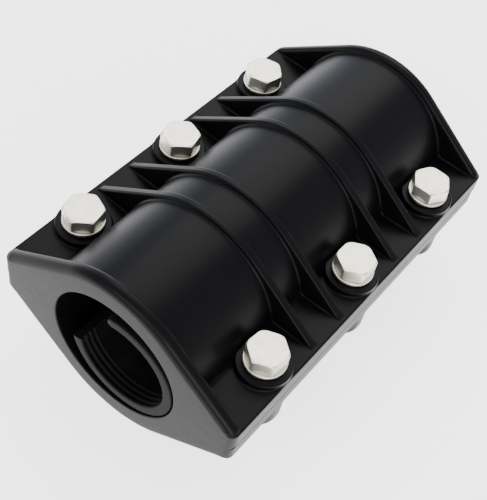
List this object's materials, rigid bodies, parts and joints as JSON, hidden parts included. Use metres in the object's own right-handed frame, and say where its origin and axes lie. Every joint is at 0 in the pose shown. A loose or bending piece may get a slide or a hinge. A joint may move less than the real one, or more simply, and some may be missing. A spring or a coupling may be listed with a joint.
{
  "type": "pipe repair clamp",
  "caption": "Two-half bolted repair clamp for a small pressure pipe, with ribbed black plastic shells, a rubber gasket and zinc-plated hexagon bolts.",
  "frame": {"origin": "on the pipe's axis, halfway along the clamp and level with the parting plane of its two halves", "axes": "+Y along the pipe, +Z along the bolts towards their heads, +X across to one row of bolts"},
  "size_m": [0.1006, 0.1552, 0.071],
  "materials": {
    "black_plastic": "satin moulded polypropylene, with a fine grain on the end faces",
    "black_rubber": "matt",
    "zinc_plated_steel": "bright zinc plating"
  },
  "bodies": {
    "lower_half": {"lower_shell": "black_plastic", "gasket": "black_rubber", "nut_front_left": "zinc_plated_steel", "nut_middle_left": "zinc_plated_steel", "nut_rear_left": "zinc_plated_steel", "nut_front_right": "zinc_plated_steel", "nut_middle_right": "zinc_plated_steel", "nut_rear_right": "zinc_plated_steel"},
    "upper_half": {"upper_shell": "black_plastic"},
    "washer_front_left_body": {"washer_front_left": "zinc_plated_steel"},
    "bolt_front_left_body": {"bolt_front_left": "zinc_plated_steel"},
    "washer_middle_left_body": {"washer_middle_left": "zinc_plated_steel"},
    "bolt_middle_left_body": {"bolt_middle_left": "zinc_plated_steel"},
    "washer_rear_left_body": {"washer_rear_left": "zinc_plated_steel"},
    "bolt_rear_left_body": {"bolt_rear_left": "zinc_plated_steel"},
    "washer_front_right_body": {"washer_front_right": "zinc_plated_steel"},
    "bolt_front_right_body": {"bolt_front_right": "zinc_plated_steel"},
    "washer_middle_right_body": {"washer_middle_right": "zinc_plated_steel"},
    "bolt_middle_right_body": {"bolt_middle_right": "zinc_plated_steel"},
    "washer_rear_right_body": {"washer_rear_right": "zinc_plated_steel"},
    "bolt_rear_right_body": {"bolt_rear_right": "zinc_plated_steel"}
  },
  "joints": [
    {"name": "upper_half_lift", "type": "slide", "parent": "lower_half", "child": "upper_half", "axis": [0, 0, 1], "range_m": [0, 0.06]},
    {"name": "washer_front_left_lift", "type": "slide", "parent": "upper_half", "child": "washer_front_left_body", "axis": [0, 0, 1], "range_m": [0, 0.0201]},
    {"name": "bolt_front_left_turn", "type": "hinge", "parent": "washer_front_left_body", "child": "bolt_front_left_body", "pos_m": [-0.0402, -0.05, 0.0125], "axis": [0, 0, 1], "range_deg": [0, 5760]},
    {"name": "washer_middle_left_lift", "type": "slide", "parent": "upper_half", "child": "washer_middle_left_body", "axis": [0, 0, 1], "range_m": [0, 0.0201]},
    {"name": "bolt_middle_left_turn", "type": "hinge", "parent": "washer_middle_left_body", "child": "bolt_middle_left_body", "pos_m": [-0.0402, 0, 0.0125], "axis": [0, 0, 1], "range_deg": [0, 5760]},
    {"name": "washer_rear_left_lift", "type": "slide", "parent": "upper_half", "child": "washer_rear_left_body", "axis": [0, 0, 1], "range_m": [0, 0.0201]},
    {"name": "bolt_rear_left_turn", "type": "hinge", "parent": "washer_rear_left_body", "child": "bolt_rear_left_body", "pos_m": [-0.0402, 0.05, 0.0125], "axis": [0, 0, 1], "range_deg": [0, 5760]},
    {"name": "washer_front_right_lift", "type": "slide", "parent": "upper_half", "child": "washer_front_right_body", "axis": [0, 0, 1], "range_m": [0, 0.0201]},
    {"name": "bolt_front_right_turn", "type": "hinge", "parent": "washer_front_right_body", "child": "bolt_front_right_body", "pos_m": [0.0402, -0.05, 0.0125], "axis": [0, 0, 1], "range_deg": [0, 5760]},
    {"name": "washer_middle_right_lift", "type": "slide", "parent": "upper_half", "child": "washer_middle_right_body", "axis": [0, 0, 1], "range_m": [0, 0.0201]},
    {"name": "bolt_middle_right_turn", "type": "hinge", "parent": "washer_middle_right_body", "child": "bolt_middle_right_body", "pos_m": [0.0402, 0, 0.0125], "axis": [0, 0, 1], "range_deg": [0, 5760]},
    {"name": "washer_rear_right_lift", "type": "slide", "parent": "upper_half", "child": "washer_rear_right_body", "axis": [0, 0, 1], "range_m": [0, 0.0201]},
    {"name": "bolt_rear_right_turn", "type": "hinge", "parent": "washer_rear_right_body", "child": "bolt_rear_right_body", "pos_m": [0.0402, 0.05, 0.0125], "axis": [0, 0, 1], "range_deg": [0, 5760]}
  ],
  "couplings": [
    {"joint": "washer_front_left_lift", "follows": "bolt_front_left_turn", "m_per_rad": 0.00019894},
    {"joint": "washer_middle_left_lift", "follows": "bolt_middle_left_turn", "m_per_rad": 0.00019894},
    {"joint": "washer_rear_left_lift", "follows": "bolt_rear_left_turn", "m_per_rad": 0.00019894},
    {"joint": "washer_front_right_lift", "follows": "bolt_front_right_turn", "m_per_rad": 0.00019894},
    {"joint": "washer_middle_right_lift", "follows": "bolt_middle_right_turn", "m_per_rad": 0.00019894},
    {"joint": "washer_rear_right_lift", "follows": "bolt_rear_right_turn", "m_per_rad": 0.00019894}
  ]
}
